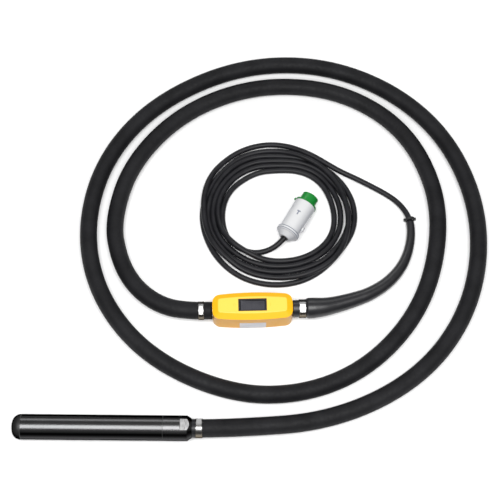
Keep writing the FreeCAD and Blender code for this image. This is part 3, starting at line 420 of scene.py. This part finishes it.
def hose_material():
    """Matte black rubber cured in a cloth wrap: a fine weave and the wrap's slanting edges."""
    material, nodes, links, shader = start_material("hose_rubber", (0.01, 0.01, 0.011), 0.62)
    shader.inputs["Specular IOR Level"].default_value = 0.16
    vector = coordinates(nodes, straight=True)
    split = nodes.new("ShaderNodeSeparateXYZ")
    links.new(vector, split.inputs["Vector"])
    angle = nodes.new("ShaderNodeMath")
    angle.operation = "ARCTAN2"
    links.new(split.outputs["Y"], angle.inputs[0])
    links.new(split.outputs["X"], angle.inputs[1])
    turns = ranged(nodes, links, angle.outputs["Value"], -math.pi, math.pi, 0.0, 1.0)
    wrap = nodes.new("ShaderNodeMath")
    wrap.operation = "MULTIPLY_ADD"
    links.new(split.outputs["Z"], wrap.inputs[0])
    wrap.inputs[1].default_value = 1 / WRAP_PITCH
    links.new(turns, wrap.inputs[2])
    saw = nodes.new("ShaderNodeMath")
    saw.operation = "FRACT"
    links.new(wrap.outputs["Value"], saw.inputs[0])
    step = ranged(nodes, links, saw.outputs["Value"], 0.0, 0.06, 0.0, 1.0)
    weave = nodes.new("ShaderNodeTexWave")
    weave.wave_type = "BANDS"
    weave.bands_direction = "Z"
    weave.inputs["Scale"].default_value = 260
    weave.inputs["Distortion"].default_value = 1.2
    links.new(vector, weave.inputs["Vector"])
    cloud = noise(nodes, links, vector, 22, 6)
    dust = noise(nodes, links, vector, 160, 8)
    links.new(two_colours(nodes, links, cloud, (0.006, 0.006, 0.007), (0.011, 0.011, 0.0125)),
              shader.inputs["Base Color"])
    links.new(ranged(nodes, links, dust, 0.3, 0.7, 0.5, 0.72), shader.inputs["Roughness"])
    bump(nodes, links, shader, [(step, 0.00025, 0.5), (weave.outputs["Fac"], 0.00010, 0.35),
                                (dust, 0.00008, 0.4)])
    return material


def cable_material():
    """Chloroprene cable sheath: satin black with faint lengthwise drawing marks."""
    material, nodes, links, shader = start_material("cable_rubber", (0.01, 0.01, 0.012), 0.42)
    shader.inputs["Specular IOR Level"].default_value = 0.24
    vector = coordinates(nodes, straight=True)
    lengthwise = noise(nodes, links, vector, 700, 4, (1, 1, 0.02))
    cloud = noise(nodes, links, vector, 40, 6)
    links.new(two_colours(nodes, links, cloud, (0.006, 0.006, 0.0075), (0.0115, 0.0115, 0.014)),
              shader.inputs["Base Color"])
    links.new(ranged(nodes, links, cloud, 0.3, 0.7, 0.36, 0.52), shader.inputs["Roughness"])
    bump(nodes, links, shader, [(lengthwise, 0.00006, 0.35)])
    return material


def painted_light_by_facing(nodes, links, stops):
    """A colour that follows how far a surface faces up, from (height of the normal, colour); it
    paints light, shade and reflections into the colour.
    """
    geometry = nodes.new("ShaderNodeNewGeometry")
    split = nodes.new("ShaderNodeSeparateXYZ")
    links.new(geometry.outputs["Normal"], split.inputs["Vector"])
    lifted = ranged(nodes, links, split.outputs["Z"], -1.0, 1.0, 0.0, 1.0)
    ramp = nodes.new("ShaderNodeValToRGB")
    for index, (height, colour) in enumerate(stops):
        spot = (height + 1) / 2
        if index < 2:
            ramp.color_ramp.elements[index].position = spot
            element = ramp.color_ramp.elements[index]
        else:
            element = ramp.color_ramp.elements.new(spot)
        element.color = (*colour, 1)
    links.new(lifted, ramp.inputs["Fac"])
    return ramp.outputs["Color"]


def grey(value):
    """A grey with a trace of blue."""
    return (value, value, value * 1.02)


def metal_with_painted_reflection(name, stops, roughness, stretch=(0.04, 1, 1), depth=0.000012):
    """Steel whose colour runs through the stops from where it faces down to where it faces up,
    painting its reflections and shade into the colour.
    """
    material, nodes, links, shader = start_material(name, stops[-1][1], roughness, metallic=1.0)
    links.new(painted_light_by_facing(nodes, links, stops), shader.inputs["Base Color"])
    shader.inputs["Specular Tint"].default_value = (0.08, 0.08, 0.08, 1)
    vector = coordinates(nodes)
    marks = noise(nodes, links, vector, 500, 5, stretch)
    cloud = noise(nodes, links, vector, 18, 6)
    links.new(ranged(nodes, links, cloud, 0.3, 0.7, roughness * 0.9, roughness * 1.15),
              shader.inputs["Roughness"])
    bump(nodes, links, shader, [(marks, depth, 0.5)])
    return material


def box_material():
    """Glossy yellow moulding, paler on its upper faces for a painted sheen and darker on its
    sides and underside for painted shade.
    """
    material, nodes, links, shader = start_material("box_yellow", (0.9, 0.5, 0.03), 0.36,
                                                    coat=0.08)
    shader.inputs["Specular IOR Level"].default_value = 0.28
    # painted shade on the sides and underside, a painted sheen on the upper faces
    stops = [(-1.0, (0.50, 0.22, 0.01)), (0.1, (0.60, 0.29, 0.012)), (0.5, (0.82, 0.37, 0.006)),
             (0.86, (0.90, 0.45, 0.008)), (0.995, (0.90, 0.57, 0.080))]
    links.new(painted_light_by_facing(nodes, links, stops), shader.inputs["Base Color"])
    shader.inputs["Coat Roughness"].default_value = 0.25
    vector = coordinates(nodes)
    smear = noise(nodes, links, vector, 60, 6)
    links.new(ranged(nodes, links, smear, 0.3, 0.7, 0.30, 0.42), shader.inputs["Roughness"])
    fine = noise(nodes, links, vector, 1400, 3)
    bump(nodes, links, shader, [(fine, 0.00003, 0.4)])
    return material


def plug_material():
    """Light grey moulding whose lower side greys a little as painted shade."""
    material, nodes, links, shader = start_material("plug_white", (0.62, 0.63, 0.64), 0.38)
    shader.inputs["Specular IOR Level"].default_value = 0.3
    # painted shade: the colour greys as the surface faces down
    stops = [(-1.0, (0.30, 0.31, 0.33)), (0.25, (0.38, 0.39, 0.42)), (0.6, (0.51, 0.52, 0.54)),
             (0.95, (0.575, 0.58, 0.585))]
    links.new(painted_light_by_facing(nodes, links, stops), shader.inputs["Base Color"])
    fine = noise(nodes, links, coordinates(nodes), 1200, 3)
    bump(nodes, links, shader, [(fine, 0.00003, 0.5)])
    return material


def plate_material():
    """Blank satin label plate, brushed along its length."""
    return metal("label_plate", (0.46, 0.47, 0.50), 0.42, (0.05, 1, 1), 700, 0.00001, 0.88)


MATERIALS = {
    # head_steel and coupling_steel: painted reflection and shade, paler where they face down (a
    # painted floor reflection), near black on the upper flank (a painted dark reflection) and
    # lighter again on top (a painted sheen)
    "head_steel": metal_with_painted_reflection("head_steel", [(-0.2, grey(0.26)), (0.2, grey(0.11)),
                                            (0.42, grey(0.03)), (0.55, grey(0.004)),
                                            (0.70, grey(0.004)), (0.80, grey(0.06)),
                                            (0.95, grey(0.085))], 0.24),
    "coupling_steel": metal_with_painted_reflection("coupling_steel", [(-0.2, grey(0.26)), (0.2, grey(0.11)),
                                                    (0.42, grey(0.03)), (0.55, grey(0.006)),
                                                    (0.70, grey(0.006)), (0.80, grey(0.07)),
                                                    (0.95, grey(0.10))], 0.24),
    # nose_steel: a dark finish of its own, with a painted highlight that grows as the surface
    # faces up
    "nose_steel": metal_with_painted_reflection("nose_steel", [(-1.0, grey(0.003)), (0.40, grey(0.01)),
                                            (0.75, grey(0.04)), (0.97, grey(0.05))], 0.48,
                             (1, 1, 1), 0.00004),
    "milled_steel": metal("milled_steel", (0.86, 0.86, 0.86), 0.34, (1, 0.1, 1), 900, 0.00003),
    "plain_steel": metal("plain_steel", (0.60, 0.60, 0.62), 0.30),
    # clamp_steel: painted reflection and shade, dark where it faces down, a warm painted
    # reflection on its flank, darker above it and a light grey painted highlight on top
    "clamp_steel": metal_with_painted_reflection("clamp_steel", [(-1.0, (0.05, 0.045, 0.04)),
                                              (0.30, (0.22, 0.19, 0.15)),
                                              (0.72, (0.10, 0.095, 0.09)),
                                              (0.97, (0.26, 0.26, 0.26))], 0.28, (1, 0.1, 0.1)),
    "bearing_steel": metal("bearing_steel", (0.75, 0.75, 0.77), 0.12),
    "laminated_steel": metal("laminated_steel", (0.35, 0.35, 0.37), 0.4, (1, 0.01, 0.01), 1500,
                             0.00005),
    "copper_winding": metal("copper_winding", (0.72, 0.34, 0.16), 0.35, (0.05, 1, 1), 900,
                            0.0001),
    "contact_brass": metal("contact_brass", (0.80, 0.62, 0.28), 0.25),
    "seal_rubber": moulded("seal_rubber", (0.02, 0.02, 0.02), (0.012, 0.012, 0.012), 0.5),
    "hose_rubber": hose_material(),
    "sleeve_rubber": moulded("sleeve_rubber", (0.012, 0.012, 0.014), (0.008, 0.008, 0.010), 0.36,
                             500, 0.00005, True),
    "cable_rubber": cable_material(),
    "box_yellow": box_material(),
    "switch_black": moulded("switch_black", (0.022, 0.022, 0.024), (0.016, 0.016, 0.018), 0.38),
    "rocker_black": moulded("rocker_black", (0.050, 0.050, 0.060), (0.040, 0.040, 0.048), 0.36),
    "terminal_plastic": moulded("terminal_plastic", (0.55, 0.55, 0.50), (0.48, 0.48, 0.44), 0.5),
    "plate_metal": plate_material(),
    "plug_white": plug_material(),
    "plug_green": moulded("plug_green", (0.0, 0.19, 0.02), (0.0, 0.155, 0.016), 0.38, 1200,
                          0.00003, coat=0.03),
    "rim_grey": moulded("rim_grey", (0.17, 0.19, 0.24), (0.14, 0.16, 0.20), 0.45),
    "wire_insulation": moulded("wire_insulation", (0.40, 0.06, 0.05), (0.34, 0.05, 0.04), 0.4),
}


FINISHES = {"nose_cap": "nose_steel", "rocker": "rocker_black"}


def dress_frame():
    """Gives every CAD node the material of its slot, or its own finish of that material."""
    for entry in frame["record"]["subparts"]:
        node = frame["nodes"][entry["node"]]
        node.data.materials.clear()
        finish = FINISHES.get(entry["node"], entry["material_slot"])
        node.data.materials.append(MATERIALS[finish])


dress_frame()

# ---- hose and cable ------------------------------------------------------------------------


def make_hose():
    path = evenly(spline_points(HOSE_ROUTE, 24), 0.006)
    mesh = tube_mesh("hose", path, lambda along: HOSE_DIAMETER / 2, 48)
    hose = add_piece("hose", mesh, "housing", MATERIALS["hose_rubber"])
    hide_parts("protective_hose")


# The sleeve's outline: (distance from the cable's start, radius).
SLEEVE_SHAPE = [
    (.0152, .0172), (.0158, .0180), (.0170, .0184), (.0430, .0185), (.0445, .0194),
    (.0465, .0212), (.0490, .0221), (.0540, .0223), (.0620, .0220), (.0720, .0210),
    (.0820, .0201), (.0940, .0191), (.1070, .0182), (.1350, .0170), (.1600, .0158),
    (.1870, .0149), (.2140, .0140), (.2420, .0132), (.2700, .0123), (.2980, .0114),
    (.3270, .0104), (.3570, .0096), (.3900, .0090), (.4010, .0088),
]
SLEEVE_START = SLEEVE_SHAPE[0][0]
SLEEVE_END = SLEEVE_SHAPE[-1][0]


def sleeve_radius(along):
    """The sleeve's collar under the clamp, its rolled shoulder and its long taper."""
    index = 1
    while index < len(SLEEVE_SHAPE) - 1 and SLEEVE_SHAPE[index][0] < along:
        index += 1
    low, high = SLEEVE_SHAPE[index - 1], SLEEVE_SHAPE[index]
    share = min(max((along - low[0]) / (high[0] - low[0]), 0.0), 1.0)
    return low[1] + (high[1] - low[1]) * share


def part_of(points, start, end):
    """The stretch of a line between two distances along it."""
    travelled, kept = 0.0, []
    for before, after in zip(points, points[1:]):
        step = (after - before).length
        if travelled < start <= travelled + step:
            kept.append(before.lerp(after, (start - travelled) / step))
        elif start < travelled < end:
            kept.append(before)
        if travelled < end <= travelled + step:
            kept.append(before.lerp(after, (end - travelled) / step))
        travelled += step
    return kept


def make_cable():
    route = LEAD_ROUTE + coil_route() + TAIL_ROUTE
    path = evenly(spline_points(route, 12), 0.004)
    mesh = tube_mesh("supply_cable", path, lambda along: CABLE_DIAMETER / 2, 20)
    cable = add_piece("supply_cable", mesh, "housing", MATERIALS["cable_rubber"])
    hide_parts("cable_lead", "cable_coil", "cable_tail")
    length = sum((b - a).length for a, b in zip(path, path[1:]))
    covered = evenly(part_of(path, SLEEVE_START, SLEEVE_END), 0.0015)
    mesh = tube_mesh("rubber_sleeve", covered,
                     lambda along: sleeve_radius(along + SLEEVE_START), 48)
    sleeve = add_piece("rubber_sleeve", mesh, "housing",
                       MATERIALS["sleeve_rubber"])
    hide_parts("tail_sleeve")
    return cable, path, length, sleeve


make_hose()
cable, cable_path, cable_length, sleeve = make_cable()

# ---- details -------------------------------------------------------------------------------


def ring_piece(name, material, profile, place, sides=72):
    """A ring on the housing, turned from the outline of its section."""
    return add_piece(name, lathe_mesh(name, profile, place, sides, closed=True), "housing",
                     MATERIALS[material])


def block_piece(name, material, low, high, rounding, place, body="housing"):
    """A rounded block between two corners in mm."""
    return add_piece(name, block_mesh(name, low, high, rounding, place), body,
                     MATERIALS[material])


def band_profile(start, end, inner, outer, bevel=0.2):
    """The section of a plain ring with bevelled outer edges."""
    return [(start, inner), (start, outer - bevel), (start + bevel, outer),
            (end - bevel, outer), (end, outer - bevel), (end, inner)]


def milled_flat():
    """The bright face of the spanner flat, ending in a curve where the coupling tapers."""
    half_gap, start, chamfer, last, slope = 23.1, 344.3, 358.5, 362.6, 0.684
    head_radius, tilt, steps = 26.0, math.radians(-3.0), 24
    inset, sunk, raised = 0.1, 0.3, 0.12
    edge = []
    for step in range(steps + 1):
        along = start + (last - start) * step / steps
        radius = head_radius - max(along - chamfer, 0.0) * slope
        edge.append((along, math.sqrt(max(radius ** 2 - half_gap ** 2, 0.01)) - inset))
    outline = edge + [(along, -side) for along, side in reversed(edge)]
    place = HEAD_AXIS @ Matrix.Rotation(tilt, 4, "X")
    shape = bmesh.new()
    low = [shape.verts.new(place @ (Vector((x, y, half_gap - sunk)) * MM)) for x, y in outline]
    high = [shape.verts.new(place @ (Vector((x, y, half_gap + raised)) * MM))
            for x, y in outline]
    shape.faces.new(high)
    shape.faces.new(low[::-1])
    for index in range(len(outline)):
        after = (index + 1) % len(outline)
        shape.faces.new((low[index], low[after], high[after], high[index]))
    bmesh.ops.recalc_face_normals(shape, faces=shape.faces)
    mesh = bpy.data.meshes.new("milled_flat")
    shape.to_mesh(mesh)
    shape.free()
    add_piece("milled_flat", mesh, "housing", MATERIALS["milled_steel"])


SEAM_LIFT = 0.00013
# Where the head's seams lie and the hose's end collar stands, in mm from the nose's tip.
NOSE_SEAM = (18.3, 19.7)
COUPLING_SEAM = (308.6, 309.4)
COLLAR_START, COLLAR_END = 368.3, 375.4
COLLAR_RIBS = (368.3, 370.8, 373.3)


def head_details():
    """The two dark seams of the head, the ribbed collar at the hose's end and the flat.
    The seams are lifted by a hair so that they don't reach below the floor."""
    lifted = Matrix.Translation((0, 0, SEAM_LIFT)) @ HEAD_AXIS
    ring_piece("nose_seam_band", "seal_rubber",
               band_profile(*NOSE_SEAM, 25.2, 26.12), lifted)
    ring_piece("coupling_seam_line", "seal_rubber",
               band_profile(*COUPLING_SEAM, 25.2, 26.08, 0.1), lifted)
    collar = [(COLLAR_START, 18.2)]
    for start in COLLAR_RIBS:
        collar += [(start, 19.3), (start + 0.5, 19.9), (start + 1.4, 19.9), (start + 1.9, 19.2)]
    collar.append((COLLAR_END, 18.2))
    ring_piece("hose_end_collar", "sleeve_rubber", collar, HEAD_AXIS)
    milled_flat()


# Each clamp: (name, the axis it goes round, its start and width in mm, the ear's roll).
CLAMPS = (
    ("head", HEAD_AXIS, 376.0, 13.5, -20),
    ("left", BOX_HOSE_AXIS, -115.3, 11.5, 20),
    ("right", BOX_HOSE_AXIS, 99.2, 14.7, 20),
)
CLAMP_EDGE = 1.4
CLAMP_EAR_INSET = 2.6


def clamp_details():
    """Raised edges and a folded ear on each hose clamp."""
    for name, axis, start, width, roll in CLAMPS:
        for side, along in (("a", start), ("b", start + width - CLAMP_EDGE)):
            ring_piece(f"{name}_clamp_edge_{side}", "clamp_steel",
                       band_profile(along, along + CLAMP_EDGE, 19.2, 20.1, 0.35), axis)
        turned = axis @ Matrix.Rotation(math.radians(roll), 4, "X")
        low = (start + CLAMP_EAR_INSET, -9.4, 20.6)
        high = (start + width - CLAMP_EAR_INSET, -5.2, 23.0)
        block_piece(f"{name}_clamp_ear", "clamp_steel", low, high, 0.7, turned)


BOX_TOP = 0.058
MARK_DISTANCE = 0.0375
ROCKER_PIN_HEIGHT = 0.047
ROCKER_REST_TILT = math.radians(6.0)
ROCKER_SLOPE = 2.9 / 26.0
ROCKER_TOP_MM = 3.5
GRIP_DISTANCES_MM = (14.0, 17.5, 21.0)


def box_details():
    """The two raised position marks beside the rocker and the grip bars on it."""
    upright = Matrix.Rotation(math.radians(-90), 4, "Y")
    place = BOX_PLACE @ Matrix.Translation((-MARK_DISTANCE, 0, BOX_TOP)) @ upright
    ring_piece("off_mark", "box_yellow",
               [(-0.3, 2.4), (0.2, 2.4), (0.35, 2.7), (0.35, 3.3), (0.2, 3.6), (-0.3, 3.6)],
               place, sides=40)
    block_piece("on_mark", "box_yellow", (37.0, -3.6, 57.7), (38.2, 3.6, 58.35),
                0.25, BOX_PLACE)
    pin = (BOX_PLACE @ Matrix.Translation((0, 0, ROCKER_PIN_HEIGHT))
           @ Matrix.Rotation(ROCKER_REST_TILT, 4, "Y"))
    for side, word in ((-1, "low"), (1, "high")):
        lean = Matrix.Rotation(-side * math.atan(ROCKER_SLOPE), 4, "Y")
        for index, along in enumerate(GRIP_DISTANCES_MM):
            height = (ROCKER_TOP_MM + along * ROCKER_SLOPE) * MM
            spot = Matrix.Translation((side * along * MM, 0, height))
            block_piece(f"rocker_grip_{word}_{index}", "rocker_black",
                        (-0.6, -8.5, -0.3), (0.6, 8.5, 0.35), 0.25, pin @ spot @ lean,
                        "switch_rocker")


# The plug's two rim lines: (name, start, end and radius in mm).
PLUG_RIMS = (("front", 17.3, 18.9, 26.15), ("back", 12.2, 13.6, 26.1))
PLUG_LUG_PLACE = (0.038, -0.0236, 0)
PLUG_LUG_PROFILE = [(-0.5, 0), (-0.5, 6.0), (2.6, 6.0), (3.4, 5.2), (3.4, 2.6), (2.6, 2.2),
                    (2.6, 0)]


def plug_details():
    """Rim lines, the latch mark, side lug and rib of the plug, and the collar's ear."""
    for name, start, end, radius in PLUG_RIMS:
        ring_piece("plug_rim_" + name, "rim_grey",
                   band_profile(start, end, 25.0, radius, 0.1), PLUG_AXIS)
    block_piece("plug_latch_stem", "rim_grey", (54, -1.2, 23.0), (63, 1.2, 24.5),
                0.4, PLUG_AXIS)
    block_piece("plug_latch_bar", "rim_grey", (62, -4.0, 23.0), (64.6, 4.0, 24.5),
                0.5, PLUG_AXIS)
    block_piece("plug_side_rib", "plug_white", (30, -25.6, -2.2), (78, -22.6, 2.2),
                1.0, PLUG_AXIS)
    lug = (PLUG_AXIS @ Matrix.Translation(PLUG_LUG_PLACE)
           @ Matrix.Rotation(math.radians(-90), 4, "Z"))
    add_piece("plug_side_lug", lathe_mesh("plug_side_lug", PLUG_LUG_PROFILE, lug, 40),
              "housing", MATERIALS["plug_white"])
    block_piece("plug_collar_ear", "plug_green", (93.6, 24.0, -3.5),
                (97.4, 28.6, 3.5), 0.9, PLUG_AXIS)


head_details()
clamp_details()
box_details()
plug_details()

# ---- stage ---------------------------------------------------------------------------------


FLOOR_HALF = 6.0
WORLD_STRENGTH = 0.27


def make_stage():
    """A plain white floor."""
    mesh = bpy.data.meshes.new("floor")
    half = FLOOR_HALF
    mesh.from_pydata([(-half, -half, 0), (half, -half, 0), (half, half, 0), (-half, half, 0)],
                     [], [(0, 1, 2, 3)])
    floor = bpy.data.objects.new("floor", mesh)
    bpy.context.scene.collection.objects.link(floor)
    mesh.materials.append(start_material("floor", (0.93, 0.93, 0.93), 0.9)[0])


def area_light(name, spot, target, size, power):
    """A white rectangular lamp at a spot, turned to a target."""
    light = bpy.data.lights.new(name, "AREA")
    light.shape = "RECTANGLE"
    light.size, light.size_y = size
    light.energy = power
    lamp = bpy.data.objects.new(name, light)
    bpy.context.scene.collection.objects.link(lamp)
    lamp.location = spot
    lamp.rotation_mode = "QUATERNION"
    lamp.rotation_quaternion = (Vector(target) - Vector(spot)).to_track_quat("-Z", "Y")


def make_light():
    area_light("key", (0.2, -0.75, 2.6), (0.2, -0.1, 0), (3.0, 1.4), 110)
    area_light("back", (0.2, 2.6, 2.0), (0.2, 0.5, 0), (3.0, 1.0), 24)
    world = bpy.data.worlds.new("world")
    world.use_nodes = True
    world.node_tree.nodes["Background"].inputs["Color"].default_value = (1, 1, 1, 1)
    world.node_tree.nodes["Background"].inputs["Strength"].default_value = WORLD_STRENGTH
    bpy.context.scene.world = world
    bpy.context.scene.view_settings.view_transform = "Standard"


make_stage()
make_light()
